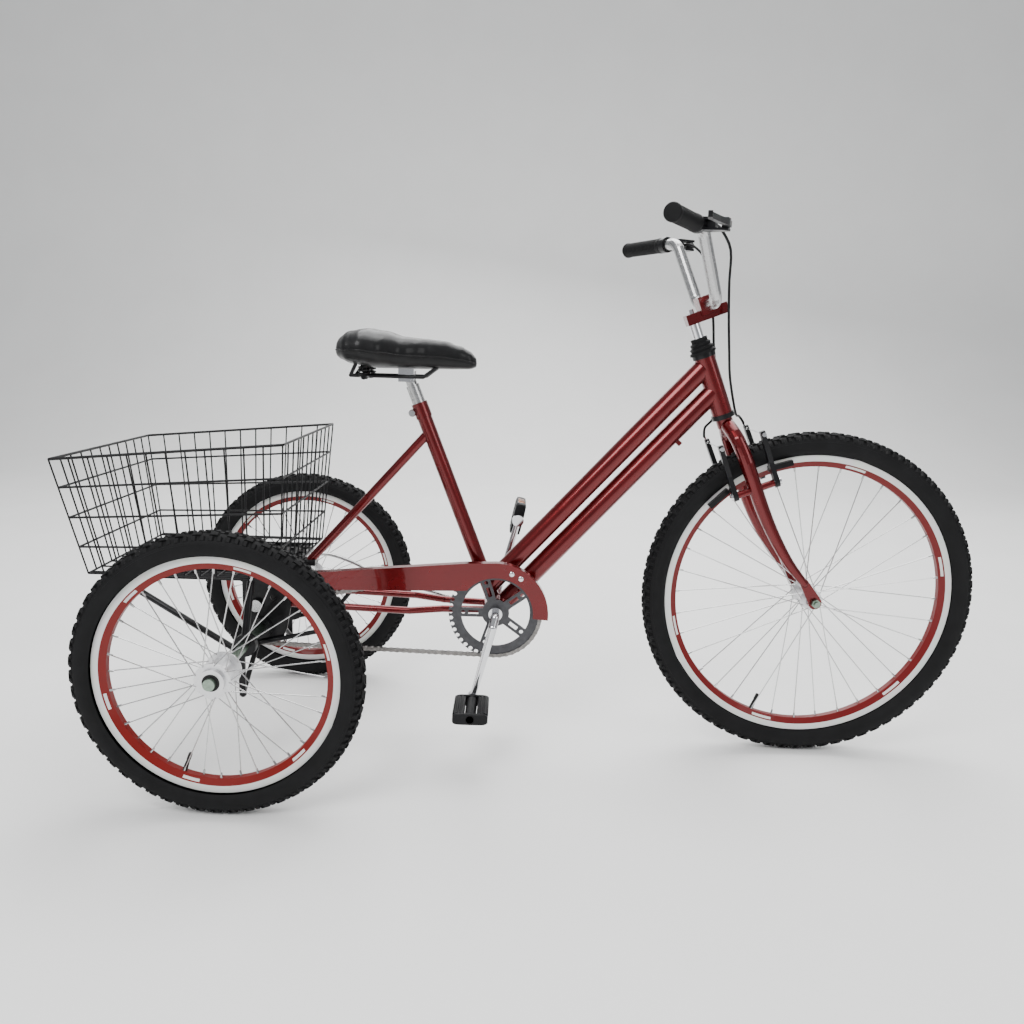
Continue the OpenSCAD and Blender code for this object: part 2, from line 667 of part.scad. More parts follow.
// ---------- steering ----------
// centre line of the left blade: x, y, z and the diameter there
blade_route = [[2, 13, -26, blade_d], [5, 40, -52, blade_d], [7, 49, -100, blade_d],
    [8, 50, -176, blade_d - 1],
    [axle_x - 38, 51, axle_z + 165, blade_d - 4], [axle_x - 26, 52, axle_z + 97, blade_d - 8],
    [axle_x - 8, 52.5, axle_z + 44, blade_d - 13]];
steerer_r = 12.7;
module blade() {
    path = curve(blade_route, 3);
    for (i = [0:len(path) - 2]) hull() {
        for (p = [path[i], path[i + 1]]) translate([p[0], p[1], p[2]]) sphere(d = p[3], $fn = 24);
    }
}
module fork() {
    color(RED) steered() difference() {
        union() {
            translate([0, 0, -26]) cylinder(r = 16, h = 16);
            translate([0, 0, -20]) cylinder(r = steerer_r, h = head_len + 26);
            both_sides() {
                blade();
                translate([0, fork_old / 2 + 2.5, 0]) across(5) {
                    translate([axle_x, axle_z]) circle(r = 13);
                    polygon([[axle_x - 17, axle_z + 52], [axle_x - 1, axle_z + 50], [axle_x + 12, axle_z + 6],
                        [axle_x - 12, axle_z]]);
                }
                translate([boss_x, arm_y, boss_z]) rotate([0, 90, 0])
                    cylinder(r = boss_r, h = 2 * boss_reach, center = true);
            }
        }
        translate([0, 0, -40]) cylinder(r = 11, h = head_len + 60);
        translate([axle_x, 0, axle_z]) rotate([90, 0, 0]) cylinder(d = front_axle_d, h = 200, center = true);
    }
}
module brake_pivot_bolts() {
    color(SILVER) steered() both_sides() for (s = [-1, 1])
        translate([boss_x + s * boss_reach, arm_y, boss_z]) rotate([0, s * 90, 0]) {
            cylinder(r = pivot_r, h = arm_t + 2 * body_gap);
            translate([0, 0, arm_t + 2 * body_gap]) cylinder(r = 7, h = 4);
        }
}
module front_axle() {
    color(STEEL) steered() translate([axle_x, 0, axle_z]) rotate([90, 0, 0]) {
        cylinder(d = front_axle_d, h = fork_old + 36, center = true);
        for (s = [-1, 1]) translate([0, 0, s * (fork_old / 2 + 9)])
            cylinder(r = 9, h = 8, center = true, $fn = 6);
        for (s = [-1, 1]) translate([0, 0, s * (fork_old / 2 - 3)]) cylinder(r = 8, h = 6, center = true);
    }
}
module stem() {
    color(RED) steered() difference() {
        union() {
            translate([-13, -15, 180]) cube([80, 30, 20]);
            translate([16, -22, 190]) cube([38, 44, 34]);
        }
        translate(bar_clamp) rotate([90, 0, 0]) cylinder(d = bar_d, h = 100, center = true);
        translate([0, 0, 150]) cylinder(r = 10.5, h = 100);
    }
}
module stem_quill() {
    color(SILVER) steered() {
        translate([0, 0, 40]) cylinder(r = 10.5, h = 160);
        translate([0, 0, 200]) cylinder(r = 6.5, h = 8, $fn = 6);
    }
}
// rounds a corner between two straight runs with an arc of points
function corner(a, b, c, r) = let (u = (a - b) / norm(a - b), w = (c - b) / norm(c - b),
    half = acos(u * w) / 2, m = (u + w) / norm(u + w), o = b + m * r / sin(half),
    p = b + u * r / tan(half), q = b + w * r / tan(half))
    [for (i = [0:6]) let (v = mix(p, q, i / 6) - o) o + v * r / norm(v)];
function flip(p) = [for (i = [len(p) - 1:-1:0]) [p[i].x, -p[i].y, p[i].z]];
half_bar = concat(corner(bar_low, bar_elbow, bar_bend, 30), corner(bar_elbow, bar_bend, bar_end, 26),
    [bar_end]);
bar_path = concat(flip(half_bar), half_bar);
module handlebar() {
    color(SILVER) placed() swept(bar_path, bar_d, 16, [1, 0, 0.2]);
}
module at_grip() { translate(bar_bend) rotate([0, 0, grip_turn]) children(); }
module grips() {
    start = perch_at + 8;
    color(BLACK) placed() both_sides() at_grip() rotate([0, 90, 0]) translate([0, 0, start]) difference() {
        cylinder(d = grip_d, h = grip_len + 3);
        translate([0, 0, -1]) cylinder(d = bar_d, h = grip_len + 1);
    }
}
lever_pivot = [perch_at - 22, 44];
lever_pin_r = 2.5;
cable_start = [perch_at - 23, 26];
lever_h = 12;
module lever_perches() {
    ear = 4;
    color(BLACK) placed() both_sides() at_grip() difference() {
        union() {
            translate([perch_at - 7, 0, 0]) rotate([0, 90, 0]) cylinder(r = 15.5, h = 14);
            translate([perch_at - 15, 12, -lever_h / 2 - ear]) cube([9, 18, lever_h + 2 * ear]);
            translate([cable_start.x, cable_start.y, 0]) rotate([0, 90, 0]) cylinder(r = 4.5, h = 12);
            for (s = [-1, 1]) translate([0, 0, s * (lever_h / 2 + body_gap + ear / 2)])
                linear_extrude(ear, center = true)
                polygon([[perch_at - 7, 0], [perch_at + 7, 10], [lever_pivot.x + 8, lever_pivot.y + 6],
                    [lever_pivot.x - 8, lever_pivot.y + 6], [lever_pivot.x - 10, 14]]);
            translate([lever_pivot.x, lever_pivot.y, 0])
                cylinder(r = lever_pin_r, h = lever_h + 2 * ear, center = true);
        }
        translate([perch_at - 20, 0, 0]) rotate([0, 90, 0]) cylinder(d = bar_d, h = 60);
    }
}
module lever_blade() {
    at_grip() difference() {
        translate(lever_pivot) {
            cylinder(r = 7, h = lever_h, center = true);
            linear_extrude(lever_h - 2, center = true) polygon([[-6, 1], [-3, 9], [22, 12], [62, 8],
                [104, 6], [118, 10], [120, 3], [104, -2], [62, -1], [24, 2], [6, -3]]);
        }
        translate(lever_pivot) cylinder(r = lever_pin_r + run_clear, h = 40, center = true);
    }
}
module right_brake_lever() { color(BLACK) placed() lever_blade(); }
module left_brake_lever() { color(BLACK) placed() mirror([0, 1, 0]) lever_blade(); }

// brake arm in the steering frame: face is +1 for the set ahead of the blades, -1 for the set behind
module brake_arm(side, face) {
    plane = boss_x + face * (boss_reach + body_gap + arm_t / 2);
    pad_x = boss_x + face * (boss_reach + arm_t / 2 + (face > 0 ? 24 : 26));
    pad_r = front_rim_r - 9.5;
    pad_z = axle_z + sqrt(pad_r * pad_r - (pad_x - axle_x) * (pad_x - axle_x));
    tilt = asin((pad_x - axle_x) / pad_r);
    y_in = rim_w / 2 + pad_gap;
    post_z = axle_z + sqrt(pad_r * pad_r - (plane - axle_x) * (plane - axle_x));
    color(BLACK) steered() mirror([0, side < 0 ? 1 : 0, 0]) {
        difference() {
            translate([plane, 0, 0]) rotate([90, 0, 90]) linear_extrude(arm_t, center = true) {
                translate([arm_y, boss_z]) circle(r = 10);
                polygon([[arm_y - 9, boss_z], [arm_y - 8, boss_z + 40], [arm_top_y - 5, boss_z + arm_len],
                    [arm_top_y + 5, boss_z + arm_len], [arm_y + 8, boss_z + 40], [arm_y + 10, boss_z]]);
            }
            translate([plane, arm_y, boss_z]) rotate([0, 90, 0])
                cylinder(r = pivot_r + run_clear, h = 60, center = true);
            translate([plane, arm_top_y, boss_z + arm_len - 6]) rotate([90, 0, 0])
                cylinder(r = 3, h = 40, center = true);
        }
        translate([plane, 0, post_z]) rotate([90, 0, 0]) translate([0, 0, -arm_y + 8])
            cylinder(r = 4, h = arm_y - 8 - y_in - pad_t + 1);
        translate([pad_x, y_in + pad_t / 2, pad_z]) rotate([0, tilt, 0]) cube([48, pad_t, 10], center = true);
    }
}
module front_right_brake_arm() { brake_arm(-1, 1); }
module front_left_brake_arm() { brake_arm(1, 1); }
module rear_right_brake_arm() { brake_arm(-1, -1); }
module rear_left_brake_arm() { brake_arm(1, -1); }

// brake cables: housing from each perch down to its noodle, all turning with the fork
cable_d = 5;
noodle_y = arm_top_y + 5.5 + 7;
noodle_z = boss_z + arm_len + 3;
front_noodle_x = boss_x + boss_reach + body_gap + arm_t / 2;
rear_noodle_x = boss_x - boss_reach - body_gap - arm_t / 2;
front_cable_route = [[54.4, -142.6, 331], [68, -118, 322], [79, -96, 284], [68, -66, 231], [56, -38, 171],
    [43, -22, 112], [33, -10, 65], [29, 6, 17], [32, 32, -16], [43, 62, -26],
    [front_noodle_x, noodle_y, noodle_z + 4], [front_noodle_x, noodle_y, noodle_z]];
rear_cable_route = [[54.4, 142.6, 331], [68, 118, 322], [79, 96, 284], [64, 70, 232], [48, 50, 174],
    [30, 42, 117], [21, 42, 67], [10, 44, 18], [-10, 52, -12], [-27, 65, -25],
    [rear_noodle_x, noodle_y, noodle_z + 4], [rear_noodle_x, noodle_y, noodle_z]];
module front_brake_cable() {
    color(BLACK) steered() swept(curve(front_cable_route, 4), cable_d, 8, [1, 0, 0.01]);
}
module rear_brake_cable() {
    color(BLACK) steered() swept(curve(rear_cable_route, 4), cable_d, 8, [1, 0, 0.01]);
}
module noodle(face) {
    x = boss_x + face * (boss_reach + body_gap + arm_t / 2);
    z = noodle_z - 9;
    end_y = arm_top_y + 5 + body_gap;
    bend = [[x, noodle_y, noodle_z], [x, noodle_y + 1, z + 4], [x, end_y + 5, z + 0.5], [x, end_y, z]];
    steered() {
        swept(curve(bend, 4), cable_d, 8, [1, 0, 0]);
        translate([x, end_y, z]) rotate([90, 0, 0]) cylinder(r = 0.9, h = 2 * end_y);
        translate([x, -end_y, z]) rotate([90, 0, 0]) cylinder(r = 4, h = 5);
    }
}
module brake_noodles() {
    color(SILVER) {
        noodle(1);
        noodle(-1);
    }
}

// ---------- crank and pedals ----------
crank_dir = [-sin(crank_angle), 0, -cos(crank_angle)];
right_eye = bb + crank_dir * crank_len;
left_eye = bb - crank_dir * crank_len;
// right half of the one-piece crank: axle, bend and arm
module crank_arm_half() {
    knee = [0, -crank_y + 14, 0];
    rod([0, 0, 0], knee, 18);
    ball(knee, 18);
    shoulder = crank_dir * 16 + [0, -crank_y, 0];
    eye = crank_dir * crank_len + [0, -crank_y, 0];
    rod(knee, shoulder, 17);
    ball(shoulder, 17);
    taper(shoulder, eye, 16.8, 12);
    translate(eye) rotate([90, 0, 0]) cylinder(r = 12, h = crank_t, center = true);
}
pedal_pin_d = 12;
module crank() {
    color(SILVER) placed() translate(bb) {
        crank_arm_half();
        rotate([0, 180, 0]) mirror([0, 1, 0]) crank_arm_half();
        translate([0, -chain_y - ring_t / 2, 0]) rotate([90, 0, 0]) cylinder(r = 13.5, h = 10);
        for (s = [-1, 1]) translate(crank_dir * s * crank_len + [0, -s * (pedal_y - 2), 0])
            rotate([s * 90, 0, 0]) cylinder(d = pedal_pin_d, h = pedal_w - 10);
    }
}
module chainring() {
    spider_r = 27;
    window_r = ring_r - 21;
    color(GRAPHITE) placed() translate([bb_x, -chain_y, bb_z]) across(ring_t) difference() {
        union() {
            difference() { toothed(ring_teeth, window_r); }
            circle(r = spider_r);
            for (k = [0:4]) rotate(36 + 72 * k) translate([0, -9]) square([window_r + 1, 18]);
        }
        circle(r = 9);
        for (k = [0:4]) rotate(36 + 72 * k) {
            translate([window_r - 4, 0]) circle(r = 4);
            translate([34, -4]) square([20, 8]);
        }
    }
}
module pedal_body() {
    // block pedal about its own axis, inner face at y = 0 and outer end at -pedal_w
    len = 66;
    h = 22;
    slot_x = 11;
    slot_w = 14;
    difference() {
        translate([-len / 2, -pedal_w, -h / 2]) cube([len, pedal_w, h]);
        for (x = [-slot_x - slot_w, slot_x]) {
            translate([x, -pedal_w + 10, -h]) cube([slot_w, pedal_w / 2 - 14, 2 * h]);
            translate([x, -pedal_w / 2 + 3, -h]) cube([slot_w, pedal_w / 2 - 11, 2 * h]);
        }
        translate([0, 1, 0]) rotate([90, 0, 0])
            cylinder(r = pedal_pin_d / 2 + run_clear, h = pedal_w - 9 + body_gap);
    }
}
left_pedal_turn = -78;
module right_pedal() { color(BLACK) placed() translate([right_eye.x, -pedal_y, right_eye.z]) pedal_body(); }
module left_pedal() {
    color(BLACK) placed() translate([left_eye.x, pedal_y, left_eye.z]) rotate([0, left_pedal_turn, 0])
        mirror([0, 1, 0]) pedal_body();
}

// ---------- saddle ----------
post_top = seat_top + seat_dir * post_rise;
post_foot = post_top - seat_dir * post_len;
clamp_pin_r = 4;
clamp_y = 10 + body_gap;
module seat_post() {
    color(SILVER) placed() {
        difference() {
            union() {
                rod(post_foot, post_top - seat_dir * 16, post_d);
                rod(post_top - seat_dir * 18, post_top + seat_dir * 6, 20);
            }
            rod(post_foot - seat_dir, post_top - seat_dir * 24, post_d - 4);
            translate(post_top) rotate([90, 0, 0])
                cylinder(r = clamp_pin_r + run_clear, h = 40, center = true);
        }
    }
}
module saddle_clamp() {
    // two cheeks and a bolt that hold the rails to the post's head
    color(SILVER) placed() translate(post_top) {
        for (s = [-1, 1]) translate([-4, s * (clamp_y + 5), 3]) cube([30, 10, 22], center = true);
        translate([-4, 0, 15]) cube([30, 2 * clamp_y + 20, 6], center = true);
        rotate([90, 0, 0]) cylinder(r = clamp_pin_r, h = 2 * clamp_y + 24, center = true);
        for (s = [-1, 1]) translate([0, s * (clamp_y + 13), 0]) rotate([90, 0, 0])
            cylinder(r = 8, h = 6, center = true, $fn = 6);
    }
}
saddle_back = post_top.x - 142;
saddle_z = post_top.z + 24;
module saddle_rails() {
    rail_d = 7;
    y = clamp_y + 16 + rail_d / 2;
    color(BLACK) placed() both_sides() {
        low = post_top.z + 2;
        rod([saddle_back + 34, y, low], [post_top.x + 30, y, low], rail_d);
        ball([post_top.x + 30, y, low], rail_d);
        rod([post_top.x + 30, y, low], [post_top.x + 62, y - 12, saddle_z + 2], rail_d);
        ball([saddle_back + 34, y, low], rail_d);
        rod([saddle_back + 34, y, low], [saddle_back + 48, y + 18, saddle_z + 2], rail_d);
    }
}
module saddle() {
    back_r = 27;
    color(BLACK) placed() hull() {
        for (s = [-1, 1]) translate([saddle_back + back_r + 8, s * (saddle_w / 2 - back_r), saddle_z + 27])
            sphere(r = back_r, $fn = 32);
        translate([saddle_back + 70, 0, saddle_z + 40]) scale([1, 1.8, 1]) sphere(r = 27, $fn = 32);
        translate([saddle_back + 200, 0, saddle_z + 24]) sphere(r = 24, $fn = 32);
        translate([saddle_back + saddle_len - 20, 0, saddle_z + 18]) sphere(r = 20, $fn = 32);
    }
}

head_tube();
upper_main_tube();
lower_main_tube();
seat_tube();
seat_stay();
chain_stays();
bottom_bracket_shell();
seat_clamp_bolt();
chain_guard();
headset_cups();
headset_boot();
chain();
carrier_frame();
carrier_side_plates();
axle_bearings();
brace_rod();
round_reflector();
basket_floor();
basket_side_walls();
basket_end_walls();
basket_bracket();
fork();
brake_pivot_bolts();
stem();
stem_quill();
handlebar();
grips();
lever_perches();
front_brake_cable();
rear_brake_cable();
brake_noodles();
front_axle();
front_tyre();
front_rim();
front_hub();
front_spokes();
rear_axle();
sprocket();
right_tyre();
right_rim();
right_hub();
right_spokes();
left_tyre();
left_rim();
left_hub();
left_spokes();
crank();
chainring();
right_pedal();
left_pedal();
right_brake_lever();
left_brake_lever();
front_right_brake_arm();
front_left_brake_arm();
rear_right_brake_arm();
rear_left_brake_arm();
seat_post();
saddle();
saddle_rails();
saddle_clamp();
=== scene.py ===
import math

import bpy
from mathutils import Matrix, Vector


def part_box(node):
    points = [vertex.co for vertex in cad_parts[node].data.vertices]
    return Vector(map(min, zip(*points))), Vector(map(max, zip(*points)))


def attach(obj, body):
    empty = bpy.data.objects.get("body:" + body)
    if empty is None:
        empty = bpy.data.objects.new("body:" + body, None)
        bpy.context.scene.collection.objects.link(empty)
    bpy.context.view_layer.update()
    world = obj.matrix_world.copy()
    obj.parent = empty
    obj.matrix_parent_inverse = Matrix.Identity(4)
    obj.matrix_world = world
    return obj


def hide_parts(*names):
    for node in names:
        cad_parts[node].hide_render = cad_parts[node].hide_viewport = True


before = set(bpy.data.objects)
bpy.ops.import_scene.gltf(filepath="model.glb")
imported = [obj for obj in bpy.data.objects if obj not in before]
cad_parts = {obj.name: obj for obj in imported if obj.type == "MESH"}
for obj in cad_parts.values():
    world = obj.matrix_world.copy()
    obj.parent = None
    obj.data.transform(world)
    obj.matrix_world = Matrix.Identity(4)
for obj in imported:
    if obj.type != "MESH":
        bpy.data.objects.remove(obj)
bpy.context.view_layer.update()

MM = 0.001
TAU = 2 * math.pi
RIM_DEPTH = 0.023
SPOKES = 36
BLACK_SPECULAR = 0.16
DASH_WHITE = (0.78, 0.78, 0.76)

# ---------------------------------------------------------------- camera
CAMERA_PLACE = Vector((-0.0585, -1.628, 0.805))
CAMERA_YAW, CAMERA_PITCH, CAMERA_ROLL = math.radians(-0.41), math.radians(11.02), math.radians(1.65)
CAMERA_SHIFT = (0.0055, -0.0026)
FOCAL_PIXELS, IMAGE_PIXELS, SENSOR = 834.0, 1024.0, 36.0


def make_camera():
    look = Vector((math.sin(CAMERA_YAW) * math.cos(CAMERA_PITCH),
                   math.cos(CAMERA_YAW) * math.cos(CAMERA_PITCH), -math.sin(CAMERA_PITCH)))
    right = Vector((math.cos(CAMERA_YAW), -math.sin(CAMERA_YAW), 0))
    up = right.cross(look)
    side = right * math.cos(CAMERA_ROLL) + up * math.sin(CAMERA_ROLL)
    top = up * math.cos(CAMERA_ROLL) - right * math.sin(CAMERA_ROLL)
    data = bpy.data.cameras.new("camera")
    data.sensor_width = SENSOR
    data.lens = FOCAL_PIXELS / IMAGE_PIXELS * SENSOR
    data.shift_x, data.shift_y = CAMERA_SHIFT
    cam = bpy.data.objects.new("camera", data)
    bpy.context.collection.objects.link(cam)
    cam.matrix_world = Matrix((side, top, -look)).transposed().to_4x4()
    cam.location = CAMERA_PLACE
    bpy.context.scene.camera = cam


# ---------------------------------------------------------------- materials
def new_material(name):
    mat = bpy.data.materials.new(name)
    mat.use_nodes = True
    return mat, mat.node_tree.nodes, mat.node_tree.links, mat.node_tree.nodes["Principled BSDF"]


def surface(name, colour, rough, metal=0.0, coat=0.0, vary=0.15, grain=60.0, bump=0.0, bump_scale=400.0,
            rough_vary=0.08, bump_size=0.0004, specular=0.5):
    """A finish with a mottled colour, uneven roughness and a fine bump, all worked out in object space."""
    mat, nodes, links, bsdf = new_material(name)
    place = nodes.new("ShaderNodeTexCoord")
    noise = nodes.new("ShaderNodeTexNoise")
    noise.inputs["Scale"].default_value = grain
    noise.inputs["Detail"].default_value = 6
    links.new(place.outputs["Object"], noise.inputs["Vector"])
    ramp = nodes.new("ShaderNodeValToRGB")
    ramp.color_ramp.elements[0].position = 0.3
    ramp.color_ramp.elements[1].position = 0.7
    ramp.color_ramp.elements[0].color = [max(0.0, c * (1 - vary)) for c in colour] + [1]
    ramp.color_ramp.elements[1].color = [min(1.0, c * (1 + vary)) for c in colour] + [1]
    links.new(noise.outputs["Fac"], ramp.inputs["Fac"])
    links.new(ramp.outputs["Color"], bsdf.inputs["Base Color"])
    level = nodes.new("ShaderNodeMapRange")
    level.inputs["To Min"].default_value = max(0.02, rough - rough_vary)
    level.inputs["To Max"].default_value = min(1.0, rough + rough_vary)
    links.new(noise.outputs["Fac"], level.inputs["Value"])
    links.new(level.outputs["Result"], bsdf.inputs["Roughness"])
    bsdf.inputs["Metallic"].default_value = metal
    bsdf.inputs["Coat Weight"].default_value = coat
    bsdf.inputs["Coat Roughness"].default_value = 0.05
    bsdf.inputs["Specular IOR Level"].default_value = specular
    if bump > 0:
        fine = nodes.new("ShaderNodeTexNoise")
        fine.inputs["Scale"].default_value = bump_scale
        fine.inputs["Detail"].default_value = 4
        links.new(place.outputs["Object"], fine.inputs["Vector"])
        relief = nodes.new("ShaderNodeBump")
        relief.inputs["Strength"].default_value = bump
        relief.inputs["Distance"].default_value = bump_size
        links.new(fine.outputs["Fac"], relief.inputs["Height"])
        links.new(relief.outputs["Normal"], bsdf.inputs["Normal"])
    return mat


def candy_paint(name, colour):
    """Dark metallic lacquer: fine flakes under a clear coat."""
    mat = surface(name, colour, 0.26, metal=0.7, coat=0.6, vary=0.1, grain=25)
    nodes, links = mat.node_tree.nodes, mat.node_tree.links
    bsdf = nodes["Principled BSDF"]
    place = nodes.new("ShaderNodeTexCoord")
    flakes = nodes.new("ShaderNodeTexVoronoi")
    flakes.inputs["Scale"].default_value = 2600
    links.new(place.outputs["Object"], flakes.inputs["Vector"])
    relief = nodes.new("ShaderNodeBump")
    relief.inputs["Strength"].default_value = 0.12
    relief.inputs["Distance"].default_value = 0.0001
    links.new(flakes.outputs["Distance"], relief.inputs["Height"])
    links.new(relief.outputs["Normal"], bsdf.inputs["Normal"])
    return mat


def rim_paint(name, centre, rim_r, inner):
    """A rim with a white brake band outside, a coloured band inside and a few plain dashes."""
    band_edge = rim_r - RIM_DEPTH * 0.52
    dash_middle = rim_r - RIM_DEPTH * 0.72
    dash_half_width = 0.0022
    dash_count, dash_from = 6, 0.9
    mat, nodes, links, bsdf = new_material(name)

    def math_node(kind, a, b=None):
        n = nodes.new("ShaderNodeMath")
        n.operation = kind
        for i, v in enumerate((a, b)):
            if v is None:
                continue
            if isinstance(v, (int, float)):
                n.inputs[i].default_value = v
            else:
                links.new(v, n.inputs[i])
        return n.outputs[0]

    place = nodes.new("ShaderNodeTexCoord")
    parts = nodes.new("ShaderNodeSeparateXYZ")
    links.new(place.outputs["Object"], parts.inputs[0])
    dx = math_node("SUBTRACT", parts.outputs["X"], centre.x)
    dz = math_node("SUBTRACT", parts.outputs["Z"], centre.z)
    radius = math_node("SQRT", math_node("ADD", math_node("MULTIPLY", dx, dx), math_node("MULTIPLY", dz, dz)))
    outer = math_node("GREATER_THAN", radius, band_edge)
    angle = math_node("ARCTAN2", dz, dx)
    wave = math_node("SINE", math_node("MULTIPLY", angle, dash_count))
    in_dash = math_node("GREATER_THAN", wave, dash_from)
    off_middle = math_node("ABSOLUTE", math_node("SUBTRACT", radius, dash_middle))
    mid = math_node("LESS_THAN", off_middle, dash_half_width)
    dash = math_node("MULTIPLY", in_dash, mid)
    white = math_node("MAXIMUM", outer, dash)
    mix = nodes.new("ShaderNodeMix")
    mix.data_type = "RGBA"
    mix.inputs[6].default_value = (*inner, 1)
    mix.inputs[7].default_value = (*DASH_WHITE, 1)
    links.new(white, mix.inputs[0])
    noise = nodes.new("ShaderNodeTexNoise")
    noise.inputs["Scale"].default_value = 40
    links.new(place.outputs["Object"], noise.inputs["Vector"])
    dirt = nodes.new("ShaderNodeMix")
    dirt.data_type = "RGBA"
    dirt.blend_type = "MULTIPLY"
    dirt.inputs[0].default_value = 0.18
    links.new(mix.outputs[2], dirt.inputs[6])
    links.new(noise.outputs["Color"], dirt.inputs[7])
    links.new(dirt.outputs[2], bsdf.inputs["Base Color"])
    bsdf.inputs["Roughness"].default_value = 0.42
    bsdf.inputs["Specular IOR Level"].default_value = 0.3
    bsdf.inputs["Coat Weight"].default_value = 0.15
    return mat


RED = (0.125, 0.0004, 0.002)
MATS = {
    "paint": candy_paint("candy_red", RED),
    "black": surface("black_enamel", (0.008, 0.008, 0.009), 0.34, coat=0.15, vary=0.3, bump=0.15,
                     bump_scale=900, specular=BLACK_SPECULAR),
    "wire": surface("coated_wire", (0.008, 0.008, 0.009), 0.42, vary=0.3, bump=0.2,
                    bump_scale=1200, specular=BLACK_SPECULAR),
    "rubber": surface("tyre_rubber", (0.0075, 0.0075, 0.008), 0.68, vary=0.25, grain=30, bump=0.35,
                      bump_scale=700, specular=BLACK_SPECULAR),
    "grip": surface("grip_rubber", (0.007, 0.007, 0.0075), 0.6, vary=0.2, bump=0.3,
                    bump_scale=1500, specular=BLACK_SPECULAR),
    "plastic": surface("moulded_plastic", (0.009, 0.009, 0.01), 0.45, vary=0.2, bump=0.25,
                       bump_scale=1400, specular=BLACK_SPECULAR),
    "alloy": surface("satin_alloy", (0.5, 0.5, 0.5), 0.26, metal=1.0, vary=0.06, grain=120,
                     bump=0.08, bump_scale=1800),
    "bright": surface("polished_alloy", (0.74, 0.74, 0.75), 0.3, metal=0.8, vary=0.05, grain=120,
                      specular=0.7),
    "chrome": surface("chrome_plate", (0.78, 0.78, 0.8), 0.09, metal=1.0, vary=0.03, rough_vary=0.04),
    "zinc": surface("zinc_plate", (0.26, 0.33, 0.27), 0.33, metal=1.0, vary=0.15, grain=180, bump=0.1),
    "spoke": surface("spoke_steel", (0.62, 0.62, 0.62), 0.25, metal=1.0, vary=0.05, grain=200),
    "chain": surface("chain_steel", (0.24, 0.23, 0.22), 0.34, metal=1.0, vary=0.3, grain=220),
    "ring": surface("dark_steel", (0.075, 0.075, 0.08), 0.38, metal=0.9, vary=0.2, grain=90, bump=0.1),
    "vinyl": surface("saddle_vinyl", (0.008, 0.008, 0.0085), 0.4, vary=0.2, grain=50, bump=0.5,
                     bump_scale=420, bump_size=0.0006, coat=0.15, specular=BLACK_SPECULAR),
    "amber": surface("amber_reflector", (0.85, 0.24, 0.02), 0.15, coat=1.0, vary=0.15, grain=500, bump=0.5,
                     bump_scale=900),
    "seal": surface("hub_seal", (0.02, 0.02, 0.02), 0.5, vary=0.2, grain=200, specular=BLACK_SPECULAR),
}
NODE_FINISH = {
    "paint": ["head_tube", "upper_main_tube", "lower_main_tube", "seat_tube", "seat_stay", "chain_stays",
              "bottom_bracket_shell", "chain_guard", "fork", "stem"],
    "black": ["headset_cups", "carrier_frame", "carrier_side_plates", "basket_bracket", "axle_bearings",
              "front_right_brake_arm", "front_left_brake_arm", "rear_right_brake_arm", "rear_left_brake_arm",
              "saddle_rails", "lever_perches", "right_brake_lever", "left_brake_lever"],
    "wire": ["basket_floor", "basket_side_walls", "basket_end_walls"],
    "rubber": ["front_tyre", "right_tyre", "left_tyre"],
    "grip": ["headset_boot", "grips"],
    "plastic": ["front_brake_cable", "rear_brake_cable", "right_pedal", "left_pedal"],
    "alloy": ["handlebar", "seat_post", "brace_rod", "round_reflector"],
    "bright": ["front_hub", "right_hub", "left_hub"],
    "chrome": ["crank", "stem_quill", "saddle_clamp", "seat_clamp_bolt", "brake_pivot_bolts",
               "brake_noodles"],
    "zinc": ["rear_axle", "front_axle"],
    "spoke": ["front_spokes", "right_spokes", "left_spokes"],
    "chain": ["chain", "sprocket"],
    "ring": ["chainring"],
    "vinyl": ["saddle"],
}


def finish_node(name, mat):
    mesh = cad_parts[name].data
    mesh.materials.clear()
    mesh.materials.append(mat)


for key, names in NODE_FINISH.items():
    for node_name in names:
        finish_node(node_name, MATS[key])


# ---------------------------------------------------------------- mesh helpers
def middle(name):
    low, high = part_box(name)
    return (low + high) / 2


def size(name):
    low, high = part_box(name)
    return high - low


def make_piece(name, verts, faces, mat, body, smooth_angle=35):
    mesh = bpy.data.meshes.new(name)
    mesh.from_pydata([tuple(v) for v in verts], [], faces)
    mesh.validate()
    mesh.update()
    ob = bpy.data.objects.new(name, mesh)
    bpy.context.collection.objects.link(ob)
    mesh.materials.append(mat)
    if smooth_angle:
        mesh.shade_smooth()
        mesh.set_sharp_from_angle(angle=math.radians(smooth_angle))
    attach(ob, body)
    return ob


def ray(angle):
    """The unit vector at an angle in the side view."""
    return Vector((math.cos(angle), 0, math.sin(angle)))


def circle(centre, side, up, radius, sides):
    """Points evenly round a centre, in the plane of side and up."""
    return [centre + (side * math.cos(TAU * k / sides) + up * math.sin(TAU * k / sides)) * radius
            for k in range(sides)]


